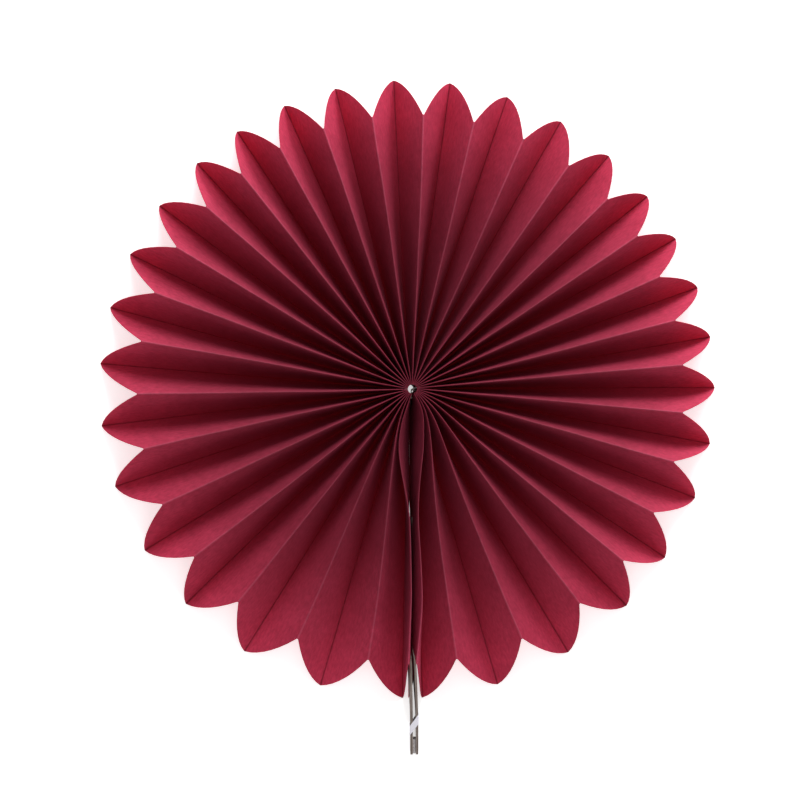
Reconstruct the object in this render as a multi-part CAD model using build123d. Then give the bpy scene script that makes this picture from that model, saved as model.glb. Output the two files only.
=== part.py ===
"""Pleated paper fan rosette, opened through the full circle and lying on its back.

The fan is one long strip of paper folded into equal pleats. A thread through the inner ends gathers
them round a small eye, and the two ends of the strip meet in a seam on the -Y side, where each is glued
round a greyboard stiffener that sticks out past the rim. A pad and a ribbon hold the stiffeners together.

Frame: millimetres, +Z up out of the front of the fan, origin on the hub axis in the plane of the valley
folds. Azimuths run clockwise from +Y, seen from the front. The seam lies along -Y.
"""
import os
from dataclasses import dataclass
from math import atan2, comb, cos, hypot, radians, sin, sqrt, tan

import numpy as np
from build123d import *

# ---- the paper ------------------------------------------------------------------------------------
PAPER = 0.15  # thickness of the sheet
PANEL_WIDTH = 20.0  # from one fold to the next, which is also how deep the closed pleats are
TIP_RADIUS = 150.0  # hub axis to the point of a petal, at the outer end of a valley fold
NOTCH_RADIUS = 132.5  # hub axis to the outer end of a ridge fold, between two petals
EYE_RADIUS = 2.2  # the open eye that the inner ends of the pleats leave
RIM_BULGE = 0.55  # how far the petal's edge bows past a straight cut, as a share of its depth
FOLD_LAND = 0.19  # width of the blunt nose of a fold, along the middle of the paper

# The angle that each full petal was pulled open to, in degrees, from the seam round the left side, over
# the top and back down the right side. The fan is stretched more beside the seam than opposite it.
PETAL_OPENINGS = (
    15.5, 15.5, 14.0, 12.5, 13.0, 11.5, 11.5, 10.5, 10.5, 10.5, 10.5, 9.5, 10.0, 10.0, 11.0, 10.5,
    11.0, 11.0, 11.0, 10.5, 9.5, 10.0, 9.5, 9.5, 10.5, 10.5, 12.5, 11.5, 14.0, 14.5, 14.3,
)
FIRST_VALLEY = -178.8  # azimuth of the valley fold just left of the seam, at the rim
SEAM_LEFT_AT_EYE = 22.0  # angle from -Y to the first valley fold, where it starts at the eye
SEAM_RIGHT_AT_EYE = 30.0  # the same to the last valley fold

# ---- the seam and what it holds -------------------------------------------------------------------
SEAM_X = 0.2  # the plane in which the two end panels face each other
THREAD = 0.6  # diameter of the binding thread
THREAD_SLACK = 0.08  # the slit between the end panels is wider than the thread by this
GLUE_LINE = 0.01  # between a stiffener and the paper on its face
BOARD = 1.0  # thickness of a stiffener
BOARD_GAP = THREAD + THREAD_SLACK + 2 * (PAPER + GLUE_LINE)  # between the two stiffeners
BOARD_START = 62.0  # hub axis to the stiffeners' inner ends
BOARD_END = TIP_RADIUS + 26.0  # hub axis to their outer ends, past the rim
BOARD_LIFT = 0.3  # their lower edges stand this far above the valley folds
BOARD_HEADROOM = 0.12  # between a stiffener's upper edge and the ridge over it
RIDGE_SLACK = 0.1  # the seam ridge stands out past the stiffener's outer face by this
RIDGE_AT_EYE = 0.23  # width of the seam ridge where it starts at the eye

PAD_LENGTH = 7.0
PAD_SETBACK = 0.4  # from the stiffeners' outer ends
PAD_MARGIN = 1.2  # from the stiffeners' long edges

RIBBON = 0.25  # thickness
RIBBON_WIDTH = 3.0
RIBBON_Y = -(TIP_RADIUS + 11.7)  # where it crosses the middle of the seam
RIBBON_SLANT = 55.0  # degrees from straight across, lower at the left
RIBBON_CLEARANCE = 0.02

THREAD_RING = 4.2  # radius of the ring that the binding thread runs in
THREAD_HEIGHT = 10.0  # of the ring above the valley folds
THREAD_BEND = 2.0  # radius at which its tail turns up to the knot
HOLE_CLEARANCE = 0.06  # round the thread, where it goes through the paper
KNOT = (1.3, 0.9, 0.8)  # half axes of the knot
KNOT_CENTRE = (0.25, -0.25, 16.6)
KNOT_TURN = 40.0  # degrees, its long axis from +X

# ---- how finely the curved faces are set out ---------------------------------------------------------
DEGREE_ALONG = 5  # of a face along the folds
DEGREE_ACROSS = 4  # of a face from one fold to the next
NEAR_RIM = 0.95  # share of the way out from which the direction of a fold at the rim is taken


def bernstein(degree):
    """The matrix that gives a curve's points at even steps from its control points."""
    steps = np.linspace(0.0, 1.0, degree + 1)
    return np.array([
        [comb(degree, i) * s**i * (1 - s) ** (degree - i) for i in range(degree + 1)] for s in steps
    ])


def face_through(surface, degree_u, degree_v):
    """The polynomial face that passes through surface(u, v) at even steps of u and v."""
    grid = np.array([
        [surface(u, v) for v in np.linspace(0.0, 1.0, degree_v + 1)]
        for u in np.linspace(0.0, 1.0, degree_u + 1)
    ])
    to_u = np.linalg.inv(bernstein(degree_u))
    to_v = np.linalg.inv(bernstein(degree_v))
    poles = np.einsum("ai,ijc,bj->abc", to_u, grid, to_v)
    return Face.make_bezier_surface([[Vector(*p) for p in row] for row in poles])


def plan(radius, azimuth):
    """The point at a radius and an azimuth, seen from the front."""
    return np.array([radius * sin(radians(azimuth)), radius * cos(radians(azimuth))])


@dataclass
class Corner:
    """One side of a fold, in the middle of the paper: where its blunt nose ends and a panel starts."""

    inner: np.ndarray  # in plan, at the eye
    outer: np.ndarray  # in plan, at the rim
    towards: np.ndarray  # unit vector in plan, from the nose to the panel
    bow: int = 1  # 1 is a straight line; more leaves the eye sideways and then runs straight

    def at(self, s):
        """The place in plan at a share s of the way from the eye to the rim."""
        x = self.inner[0] + (self.outer[0] - self.inner[0]) * (1 - (1 - s) ** self.bow)
        y = self.inner[1] + (self.outer[1] - self.inner[1]) * s
        return np.array([x, y])

    def at_radius(self, radius):
        """The place in plan at a distance from the hub axis."""
        near, far = hypot(*self.inner), hypot(*self.outer)
        return self.at((radius - near) / (far - near))


@dataclass
class Fold:
    """A fold line, or a free end of the sheet, with the corners on its two sides."""

    before: Corner  # towards the panel that comes before it
    after: Corner  # towards the panel that comes after it
    ridge: bool
    end: bool = False


def radial_fold(azimuth, azimuth_at_eye, ridge):
    """A fold that runs straight out from the eye to the rim."""
    radius = NOTCH_RADIUS if ridge else TIP_RADIUS
    corners = []
    for turn in (-90, 90):
        inner = plan(EYE_RADIUS, azimuth_at_eye) + plan(FOLD_LAND / 2, azimuth_at_eye + turn)
        outer = plan(radius, azimuth) + plan(FOLD_LAND / 2, azimuth + turn)
        corners.append(Corner(inner, outer, plan(1, azimuth + turn)))
    return Fold(*corners, ridge)


def seam_folds(side):
    """The sheet's free end and the ridge over the stiffener; side is -1 on the left and 1 on the right."""
    panel_x = SEAM_X + side * (BOARD_GAP / 2 - GLUE_LINE - PAPER / 2)
    over_board = BOARD + 2 * GLUE_LINE + PAPER + RIDGE_SLACK
    eye, notch, tip = -EYE_RADIUS, -NOTCH_RADIUS, -TIP_RADIUS
    outwards = np.array([side, 0.0])
    free = Corner(np.array([panel_x, eye]), np.array([panel_x, tip]), outwards)
    near = Corner(np.array([panel_x, eye]), np.array([panel_x, notch]), -outwards)
    far = Corner(
        np.array([panel_x + side * RIDGE_AT_EYE, eye]),
        np.array([panel_x + side * over_board, notch]),
        outwards,
        DEGREE_ALONG,
    )
    end = Fold(free, free, ridge=False, end=True)
    if side < 0:
        return [end, Fold(near, far, ridge=True)]
    return [Fold(far, near, ridge=True), end]


def all_folds():
    """Every fold in order, clockwise from the sheet's left end in the seam to its right end."""
    at_rim = np.cumsum((FIRST_VALLEY,) + PETAL_OPENINGS)
    at_eye = np.linspace(-180 + SEAM_LEFT_AT_EYE, 180 - SEAM_RIGHT_AT_EYE, len(at_rim))
    folds = seam_folds(-1)
    for i, (rim, eye) in enumerate(zip(at_rim, at_eye)):
        if i:
            folds.append(radial_fold((at_rim[i - 1] + rim) / 2, (at_eye[i - 1] + eye) / 2, ridge=True))
        folds.append(radial_fold(rim, eye, ridge=False))
    return folds + seam_folds(1)


class PleatedSheet:
    """The folded sheet, as faces that share their edges all round."""

    def __init__(self):
        self.folds = all_folds()

    def height(self, k, s):
        """The height of ridge k: the panels beside it keep their width as they open."""
        fold = self.folds[k]
        radius = hypot(*fold.before.at(s))
        runs = []
        if not self.folds[k - 1].end:
            runs.append(fold.before.at_radius(radius) - self.folds[k - 1].after.at_radius(radius))
        if not self.folds[k + 1].end:
            runs.append(self.folds[k + 1].before.at_radius(radius) - fold.after.at_radius(radius))
        run = sum(hypot(*r) for r in runs) / len(runs)
        return sqrt(PANEL_WIDTH**2 - run**2)

    def steepness(self, k, s):
        """The angle at which the panel after fold k climbs or drops."""
        a, b = self.folds[k], self.folds[k + 1]
        run = abs(a.after.towards @ (b.before.at(s) - a.after.at(s)))
        return atan2(self.height(k if a.ridge else k + 1, s), run)

    def corner(self, k, after, upper, s):
        """A corner of the paper at fold k, on its upper or lower face, beside one of its two panels."""
        fold = self.folds[k]
        corner = fold.after if after else fold.before
        reach = PAPER / 2 * tan(self.steepness(k if after else k - 1, s) / 2)
        if upper != fold.ridge:
            reach = -reach
        x, y = corner.at(s) + corner.towards * reach
        base = self.height(k, s) if fold.ridge else 0.0
        return np.array([x, y, 0.0 if fold.end else base + (PAPER if upper else 0.0)])

    def panel(self, k, upper, s, v):
        """A point of the panel between folds k and k + 1; v runs from one to the other."""
        def fold_sides(share):
            return self.corner(k, True, upper, share), self.corner(k + 1, False, upper, share)

        a, b = fold_sides(s)
        near_rim = [end - start for start, end in zip(fold_sides(NEAR_RIM), fold_sides(1.0))]
        outwards = sum(step / np.linalg.norm(step) * w for step, w in zip(near_rim, (1 - v, v)))
        bulge = RIM_BULGE * (TIP_RADIUS - NOTCH_RADIUS) * v * (1 - v)
        return a * (1 - v) + b * v + outwards * bulge * s

    def nose(self, k, upper, s, v):
        """A point of the blunt nose of fold k; v runs across it."""
        return self.corner(k, False, upper, s) * (1 - v) + self.corner(k, True, upper, s) * v

    def faces_of(self, point, degree_across):
        """The upper and lower faces of one stretch of the sheet, and its edges at the eye and the rim."""
        faces = [
            face_through(lambda s, v, upper=upper: point(upper, s, v), DEGREE_ALONG, degree_across)
            for upper in (True, False)
        ]
        for s in (0.0, 1.0):
            faces.append(face_through(
                lambda v, w, s=s: point(False, s, v) * (1 - w) + point(True, s, v) * w, degree_across, 1
            ))
        return faces

    def free_edge(self, k, after):
        """The cut edge along a free end of the sheet."""
        return face_through(
            lambda s, w: self.corner(k, after, False, s) * (1 - w) + self.corner(k, after, True, s) * w,
            DEGREE_ALONG, 1,
        )

    def solid(self):
        """The whole sheet as one solid."""
        last = len(self.folds) - 1
        faces = [self.free_edge(0, True), self.free_edge(last, False)]
        for k in range(last):
            faces += self.faces_of(lambda upper, s, v, k=k: self.panel(k, upper, s, v), DEGREE_ACROSS)
        for k in range(1, last):
            faces += self.faces_of(lambda upper, s, v, k=k: self.nose(k, upper, s, v), 1)
        return Solid(Shell(faces))


def thread_ring(diameter):
    """The ring that the thread runs in, through every panel near the eye."""
    return Pos(0, 0, THREAD_HEIGHT) * Torus(THREAD_RING, diameter / 2)


def pleated_paper():
    """The sheet, with the holes that the thread goes through."""
    return PleatedSheet().solid() - thread_ring(THREAD + 2 * HOLE_CLEARANCE)


def hub_thread():
    """The thread: its ring through the pleats, its tail up the seam into the eye, and its knot."""
    rx, ry, rz = KNOT
    knot = Pos(*KNOT_CENTRE) * Rot(0, 0, KNOT_TURN) * scale(Sphere(1.0), by=(rx, ry, rz))
    tail = FilletPolyline(
        (SEAM_X, -THREAD_RING, THREAD_HEIGHT),
        (SEAM_X, KNOT_CENTRE[1], THREAD_HEIGHT),
        KNOT_CENTRE,
        radius=THREAD_BEND,
    )
    profile = Plane(origin=tail @ 0, z_dir=tail % 0) * Circle(THREAD / 2)
    return thread_ring(THREAD) + sweep(profile, path=tail) + knot


def stiffener(side):
    """A greyboard strip on edge under a seam ridge; side is -1 on the left and 1 on the right."""
    sheet = PleatedSheet()
    seam_ridges = (1, len(sheet.folds) - 2)
    top = min(sheet.height(k, 1.0) for k in seam_ridges) - BOARD_HEADROOM
    middle = SEAM_X + side * (BOARD_GAP + BOARD) / 2
    centre = (middle, -(BOARD_START + BOARD_END) / 2, (BOARD_LIFT + top) / 2)
    return Pos(*centre) * Box(BOARD, BOARD_END - BOARD_START, top - BOARD_LIFT)


def adhesive_pad(board):
    """The pad that sticks the stiffeners' free ends together."""
    box = board.bounding_box()
    low, high = box.min.Z + PAD_MARGIN, box.max.Z - PAD_MARGIN
    middle_y = -(BOARD_END - PAD_SETBACK - PAD_LENGTH / 2)
    return Pos(SEAM_X, middle_y, (low + high) / 2) * Box(BOARD_GAP, PAD_LENGTH, high - low)


def tie_ribbon(board):
    """The ribbon: a flat band that goes round both stiffeners on a slant."""
    box = board.bounding_box()
    width = BOARD_GAP + 2 * (BOARD + RIBBON_CLEARANCE)
    depth = box.size.Z + 2 * RIBBON_CLEARANCE
    length = 4 * RIBBON_WIDTH / cos(radians(RIBBON_SLANT))
    wrap = Box(width + 2 * RIBBON, length, depth + 2 * RIBBON) - Box(width, length, depth)
    band = Rot(0, 0, RIBBON_SLANT) * Box(length, RIBBON_WIDTH, 2 * depth)
    return Pos(SEAM_X, RIBBON_Y, box.center().Z) * (wrap & band)


left = stiffener(-1)
PARTS = {
    "pleated_paper": pleated_paper(),
    "left_stiffener": left,
    "right_stiffener": stiffener(1),
    "adhesive_pad": adhesive_pad(left),
    "tie_ribbon": tie_ribbon(left),
    "hub_thread": hub_thread(),
}

os.makedirs("parts", exist_ok=True)
for name, part in PARTS.items():
    export_step(part, f"parts/{name}.step")
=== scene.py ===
"""A pleated paper fan rosette lying open on a pale studio floor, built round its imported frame.

One folded sheet makes the whole fan. Its two ends meet in a seam, where each is glued round a greyboard
strip that sticks out past the rim; a foam pad and a ribbon hold the strips together, and a thread gathers
the pleats at the hub. Sizes in the classes are millimetres, and meshes are made in metres.
"""

import logging
import math
import random
from dataclasses import dataclass
from enum import Enum
from typing import Any

import bmesh
import bpy
import numpy as np
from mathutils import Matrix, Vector

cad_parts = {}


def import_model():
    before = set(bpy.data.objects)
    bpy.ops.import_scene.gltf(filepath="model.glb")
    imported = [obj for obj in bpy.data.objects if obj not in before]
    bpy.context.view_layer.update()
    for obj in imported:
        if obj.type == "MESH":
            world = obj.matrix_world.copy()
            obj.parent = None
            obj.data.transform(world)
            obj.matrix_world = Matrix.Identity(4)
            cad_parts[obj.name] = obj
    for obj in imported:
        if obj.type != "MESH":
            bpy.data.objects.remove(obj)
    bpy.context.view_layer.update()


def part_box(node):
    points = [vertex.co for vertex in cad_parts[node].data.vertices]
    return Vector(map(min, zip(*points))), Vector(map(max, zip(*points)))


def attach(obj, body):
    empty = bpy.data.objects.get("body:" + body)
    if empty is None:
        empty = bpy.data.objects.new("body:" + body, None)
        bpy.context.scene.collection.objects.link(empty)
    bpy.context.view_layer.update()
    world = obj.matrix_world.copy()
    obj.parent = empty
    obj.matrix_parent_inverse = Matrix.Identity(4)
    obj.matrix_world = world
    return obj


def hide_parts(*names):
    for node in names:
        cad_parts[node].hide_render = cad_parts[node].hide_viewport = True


LOG = logging.getLogger("paper_fan")
MM = 0.001
BODY = "root"
FLAT = "flat_mm"  # across the pleats, out from the hub, and the share of the way up to the ridge
SEAM_X = 0.2  # the plane in which the two ends of the sheet face each other


class Slot(Enum):
    """The record's material slots."""

    PAPER = "burgundy_paper"
    BOARD = "greyboard"
    FOAM = "foam_pad"
    RIBBON = "white_ribbon"
    THREAD = "white_thread"


class Side(Enum):
    """The two sides of the seam, seen from the front."""

    LEFT = -1
    RIGHT = 1


# ---- small tools -----------------------------------------------------------------------------------


def linear(code: str) -> tuple[float, float, float, float]:
    """Turns an sRGB colour into a linear one.

    Args:
        code: the colour as six hex digits after a #.

    Returns:
        Linear red, green and blue, and an alpha of 1.
    """
    shares = [int(code[i : i + 2], 16) / 255 for i in (1, 3, 5)]
    parts = [c / 12.92 if c <= 0.04045 else ((c + 0.055) / 1.055) ** 2.4 for c in shares]
    return (parts[0], parts[1], parts[2], 1.0)


def add_node(
    tree: bpy.types.NodeTree,
    kind: str,
    settings: dict[str, Any] | None = None,
    inputs: dict[str | int, Any] | None = None,
) -> bpy.types.Node:
    """Adds a node with its settings and links.

    Args:
        tree: the node tree that gets it.
        kind: the node's type name.
        settings: its properties by name.
        inputs: its input sockets by name or number, each with a value or with a socket to link from.

    Returns:
        The new node.
    """
    node = tree.nodes.new(kind)
    for name, value in (settings or {}).items():
        setattr(node, name, value)
    for key, value in (inputs or {}).items():
        socket = node.inputs[key]
        if isinstance(value, bpy.types.NodeSocket):
            tree.links.new(value, socket)
        else:
            socket.default_value = value
    return node


def set_ramp(ramp: bpy.types.ColorRamp, stops: list[tuple[float, Any]]) -> None:
    """Fills a colour ramp.

    Args:
        ramp: the ramp.
        stops: each stop's place with its colour.
    """
    while len(ramp.elements) < len(stops):
        ramp.elements.new(0.5)
    for element, (place, colour) in zip(ramp.elements, stops):
        element.position = place
        element.color = colour


def plain_mesh(obj: bpy.types.Object, name: str, sharp_above: float = 40.0) -> bpy.types.Object:
    """Turns an object with modifiers into a new one with a plain mesh and smooth shading.

    Args:
        obj: the object, which is deleted.
        name: the new object's name.
        sharp_above: edges that bend by more than this, in degrees, stay sharp.

    Returns:
        The new object.
    """
    graph = bpy.context.evaluated_depsgraph_get()
    mesh = bpy.data.meshes.new_from_object(obj.evaluated_get(graph), depsgraph=graph)
    bpy.data.objects.remove(obj)
    mesh.name = name
    mesh.polygons.foreach_set("use_smooth", [True] * len(mesh.polygons))
    mesh.set_sharp_from_angle(angle=math.radians(sharp_above))
    piece = bpy.data.objects.new(name, mesh)
    bpy.context.collection.objects.link(piece)
    return piece


def object_from(name: str, verts: Any, edges: Any = (), faces: Any = ()) -> bpy.types.Object:
    """Makes an object from its vertices, edges and faces.

    Args:
        name: the object's name.
        verts: the vertices, in metres.
        edges: pairs of vertex numbers.
        faces: rings of vertex numbers.

    Returns:
        The new object.
    """
    mesh = bpy.data.meshes.new(name)
    mesh.from_pydata(verts, edges, faces)
    mesh.update()
    obj = bpy.data.objects.new(name, mesh)
    bpy.context.collection.objects.link(obj)
    return obj


def finish_mesh(piece: bpy.types.Object, material: bpy.types.Material, sharp_above: float = 50.0) -> None:
    """Points a piece's faces outwards, shades it smooth and gives it its material.

    Args:
        piece: the piece, which is changed.
        material: its material.
        sharp_above: edges that bend by more than this, in degrees, stay sharp.
    """
    shape = bmesh.new()
    shape.from_mesh(piece.data)
    bmesh.ops.remove_doubles(shape, verts=shape.verts, dist=1e-7)
    bmesh.ops.recalc_face_normals(shape, faces=shape.faces)
    shape.to_mesh(piece.data)
    shape.free()
    piece.data.polygons.foreach_set("use_smooth", [True] * len(piece.data.polygons))
    piece.data.set_sharp_from_angle(angle=math.radians(sharp_above))
    piece.data.materials.clear()
    piece.data.materials.append(material)


def new_tree(name: str, inputs: dict[str, str]) -> bpy.types.NodeTree:
    """Makes an empty Geometry Nodes tree that takes and gives geometry.

    Args:
        name: the tree's name.
        inputs: the kind of each named input after the geometry.

    Returns:
        The tree.
    """
    tree = bpy.data.node_groups.new(name, "GeometryNodeTree")
    face = tree.interface
    face.new_socket("Geometry", in_out="INPUT", socket_type="NodeSocketGeometry")
    for given, kind in inputs.items():
        face.new_socket(given, in_out="INPUT", socket_type=f"NodeSocket{kind}")
    face.new_socket("Geometry", in_out="OUTPUT", socket_type="NodeSocketGeometry")
    return tree


def end_tree(
    tree: bpy.types.NodeTree, geometry: bpy.types.NodeSocket, material: bpy.types.NodeSocket
) -> None:
    """Ends a tree: makes its instances real, sets the material and joins the output.

    Args:
        tree: the tree.
        geometry: what it has made.
        material: its material input.
    """
    whole = add_node(tree, "GeometryNodeRealizeInstances", inputs={"Geometry": geometry}).outputs[0]
    dressed = add_node(
        tree, "GeometryNodeSetMaterial", inputs={"Geometry": whole, "Material": material}
    ).outputs[0]
    add_node(tree, "NodeGroupOutput", inputs={0: dressed})


def set_inputs(modifier: bpy.types.Modifier, values: dict[str, Any]) -> None:
    """Sets a Geometry Nodes modifier's inputs by their sockets' identifiers.

    Args:
        modifier: the modifier, with its tree.
        values: the value of each named input.
    """
    for item in modifier.node_group.interface.items_tree:
        if item.in_out == "INPUT" and item.name in values:
            modifier[item.identifier] = values[item.name]


def fit_out(piece: bpy.types.Object, node: str) -> None:
    """Puts a finished piece on the body in place of its CAD node.

    Args:
        piece: the piece.
        node: the node that it stands for.
    """
    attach(piece, BODY)
    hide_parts(node)
    LOG.info("%s: %d faces, stands for %s", piece.name, len(piece.data.polygons), node)


# ---- finishes --------------------------------------------------------------------------------------


@dataclass(frozen=True)
class DyedPaper:
    """Dyed-through uncoated craft paper: matt, softly cloudy, rubbed paler along the ridges, partly as a
    painted highlight.

    Painted shade darkens its colour towards the hub and along the valley creases, so it is palest towards the
    petals' points.
    """

    dye: str = "#D14365"
    cloud: str = "#AE304E"
    rubbed_highlight: str = "#DE7C98"
    through: str = "#E0405C"
    cloud_mm: float = 14.0
    fibre_mm: float = 1.1  # real fibres are a tenth of this, too fine to show
    fibre_squeeze: float = 0.35  # the pattern runs along the pleats, longer by the inverse of this
    fibre_tone: tuple[float, float] = (0.74, 1.22)  # brightness of the darkest and the palest fibres
    fibre_bump_mm: float = 0.06
    see_through: float = 0.33
    hub_painted_shade: float = 0.42  # painted shade: share of the dye's brightness that is left towards the hub
    painted_shade_fade_mm: tuple[float, float] = (50.0, 138.0)  # from and to this radius the painted shade fades and the paper turns paler
    crease_painted_shade: float = 0.4  # painted shade: share of the brightness that is left in a valley crease
    crease_shade_width: float = 0.03  # width of the painted crease shade, as a share of a panel
    rubbed_highlight_from: float = 0.988  # share of the way up a panel at which its rubbed ridge, partly a painted highlight, starts
    most_rubbed_highlight: float = 0.25
    rubbed_highlight_mm: tuple[float, float] = (8.0, 50.0)  # radii between which the rubbing and its painted highlight set in
    roughness: float = 0.78
    specular: float = 0.25

    def material(self) -> bpy.types.Material:
        """Returns the paper's material, which reads the flat sheet's own millimetres."""
        mat = bpy.data.materials.new("Dyed_craft_paper_pleated")
        mat.use_nodes = True
        tree = mat.node_tree
        tree.nodes.clear()
        flat = add_node(tree, "ShaderNodeAttribute", {"attribute_name": FLAT}).outputs["Vector"]
        parts = add_node(tree, "ShaderNodeSeparateXYZ", inputs={0: flat})
        cloud = add_node(
            tree, "ShaderNodeTexNoise", inputs={"Vector": flat, "Scale": 1 / self.cloud_mm, "Detail": 4.0}
        )
        stretched = add_node(
            tree, "ShaderNodeMapping", inputs={"Vector": flat, "Scale": (1.0, self.fibre_squeeze, 0.0)}
        ).outputs[0]
        fibre = add_node(
            tree, "ShaderNodeTexNoise",
            inputs={"Vector": stretched, "Scale": 1 / self.fibre_mm, "Detail": 3.0, "Roughness": 0.7},
        )
        dyed = add_node(
            tree, "ShaderNodeMix", {"data_type": "RGBA"},
            {"Factor": cloud.outputs["Fac"], 6: linear(self.dye), 7: linear(self.cloud)},
        ).outputs[2]
        grain = add_node(
            tree, "ShaderNodeMapRange",
            inputs={
                "Value": fibre.outputs["Fac"], "From Min": 0.3, "From Max": 0.7,
                "To Min": self.fibre_tone[0], "To Max": self.fibre_tone[1],
            },
        ).outputs[0]
        dyed = add_node(
            tree, "ShaderNodeVectorMath", {"operation": "SCALE"}, {0: dyed, "Scale": grain}
        ).outputs[0]
        # Paler along the ridges: partly rubbed paper, partly a painted highlight where the crests catch
        # light.
        wear_and_highlight = add_node(
            tree, "ShaderNodeMapRange", {"interpolation_type": "SMOOTHSTEP"},
            {"Value": parts.outputs["Z"], "From Min": self.rubbed_highlight_from, "To Max": self.most_rubbed_highlight},
        ).outputs[0]
        outer = add_node(
            tree, "ShaderNodeMapRange", {"interpolation_type": "SMOOTHSTEP"},
            {"Value": parts.outputs["Y"], "From Min": self.rubbed_highlight_mm[0], "From Max": self.rubbed_highlight_mm[1]},
        ).outputs[0]
        wear_and_highlight = add_node(tree, "ShaderNodeMath", {"operation": "MULTIPLY"}, {0: wear_and_highlight, 1: outer}).outputs[0]
        colour = add_node(
            tree, "ShaderNodeMix", {"data_type": "RGBA"},
            {"Factor": wear_and_highlight, 6: dyed, 7: linear(self.rubbed_highlight)},
        ).outputs[2]
        # Painted shade: the colour darkens towards the hub, where the pleats are deep and narrow.
        hub_shade = add_node(
            tree, "ShaderNodeMapRange",
            inputs={"Value": parts.outputs["Y"], "From Min": self.painted_shade_fade_mm[0], "From Max": self.painted_shade_fade_mm[1]},
        ).outputs[0]
        hub_shade = add_node(tree, "ShaderNodeMath", {"operation": "POWER"}, {0: hub_shade, 1: 2.0}).outputs[0]
        hub_shade = add_node(
            tree, "ShaderNodeMapRange", inputs={"Value": hub_shade, "To Min": self.hub_painted_shade}
        ).outputs[0]
        # Painted shade: the colour darkens in each valley crease.
        crease_shade = add_node(
            tree, "ShaderNodeMapRange", {"interpolation_type": "SMOOTHSTEP"},
            {"Value": parts.outputs["Z"], "From Max": self.crease_shade_width, "To Min": self.crease_painted_shade},
        ).outputs[0]
        painted_shade = add_node(tree, "ShaderNodeMath", {"operation": "MULTIPLY"}, {0: hub_shade, 1: crease_shade}).outputs[0]
        colour = add_node(
            tree, "ShaderNodeVectorMath", {"operation": "SCALE"}, {0: colour, "Scale": painted_shade}
        ).outputs[0]
        bump = add_node(
            tree, "ShaderNodeBump",
            inputs={"Strength": 0.35, "Distance": self.fibre_bump_mm * MM, "Height": fibre.outputs["Fac"]},
        ).outputs[0]
        front = add_node(
            tree, "ShaderNodeBsdfPrincipled",
            inputs={
                "Base Color": colour, "Roughness": self.roughness,
                "Specular IOR Level": self.specular, "Normal": bump,
            },
        ).outputs[0]
        glow = add_node(
            tree, "ShaderNodeBsdfTranslucent", inputs={"Color": linear(self.through), "Normal": bump}
        ).outputs[0]
        mixed = add_node(
            tree, "ShaderNodeMixShader", inputs={0: self.see_through, 1: front, 2: glow}
        ).outputs[0]
        add_node(tree, "ShaderNodeOutputMaterial", inputs={"Surface": mixed})
        return mat


@dataclass(frozen=True)
class Finish:
    """A plain mottled finish for a small piece, patterned on the object's own coordinates."""

    name: str
    light: str
    dark: str
    pattern_mm: tuple[float, float, float]
    roughness: float
    bump_mm: float
    detail: float = 3.0
    specular: float = 0.4
    sheen: float = 0.0

    def material(self) -> bpy.types.Material:
        """Returns the material."""
        mat = bpy.data.materials.new(self.name)
        mat.use_nodes = True
        tree = mat.node_tree
        tree.nodes.clear()
        place = add_node(tree, "ShaderNodeTexCoord").outputs["Object"]
        scaled = add_node(
            tree, "ShaderNodeMapping",
            inputs={"Vector": place, "Scale": tuple(1 / (size * MM) for size in self.pattern_mm)},
        ).outputs[0]
        mottle = add_node(
            tree, "ShaderNodeTexNoise",
            inputs={"Vector": scaled, "Scale": 1.0, "Detail": self.detail, "Roughness": 0.65},
        ).outputs["Fac"]
        ramp = add_node(tree, "ShaderNodeValToRGB", inputs={"Fac": mottle})
        set_ramp(ramp.color_ramp, [(0.35, linear(self.dark)), (0.65, linear(self.light))])
        bump = add_node(
            tree, "ShaderNodeBump", inputs={"Strength": 0.6, "Distance": self.bump_mm * MM, "Height": mottle}
        ).outputs[0]
        shader = add_node(
            tree, "ShaderNodeBsdfPrincipled",
            inputs={
                "Base Color": ramp.outputs["Color"], "Roughness": self.roughness,
                "Specular IOR Level": self.specular, "Sheen Weight": self.sheen, "Normal": bump,
            },
        ).outputs[0]
        add_node(tree, "ShaderNodeOutputMaterial", inputs={"Surface": shader})
        return mat


# Recycled greyboard, cut: thin dark plies along the strip show at its long edges.
GREYBOARD = Finish("Greyboard_cut", "#978A83", "#54463F", (0.35, 14.0, 6.0), 0.85, 0.05, 4.0)
# White polyethylene foam tape: soft open cells.
FOAM = Finish("White_foam_tape", "#E4DEDE", "#B4ACAC", (0.5, 0.9, 0.9), 0.9, 0.08, 2.0)
# Woven polyester ribbon: close white ribs across its length, with a faint satin gloss.
SATIN = Finish("White_woven_ribbon", "#F4F1F8", "#DCD8E4", (0.25, 0.25, 0.25), 0.45, 0.03, 1.0, 0.5, 0.3)
# White cotton thread, coloured grey as painted shade: a matt twist, its darker mottle painted shade between
# the plies.
COTTON_PAINTED_SHADE = Finish("White_cotton_thread_painted_shade", "#BDB8AE", "#86827A", (0.3, 0.3, 0.3), 0.85, 0.04, 2.0)


# ---- the pleated sheet -----------------------------------------------------------------------------


@dataclass(frozen=True)
class Lean:
    """How far a fold is pushed sideways near the hub, where the seam springs open."""

    push: float  # mm, positive to the right
    peak: float  # share of the way out at which the push is largest

    def at(self, share: np.ndarray) -> np.ndarray:
        """Returns the sideways push at each share of the way to the rim, where it has died away."""
        reach = share / self.peak
        return self.push * reach * np.exp(1 - reach) * (1 - share**4)


@dataclass
class FoldLine:
    """A fold of the sheet in plan, eye to rim: the corners on its two sides and how it is turned."""

    before: np.ndarray  # stations x 2
    after: np.ndarray
    ridge: bool
    end: bool = False


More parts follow.
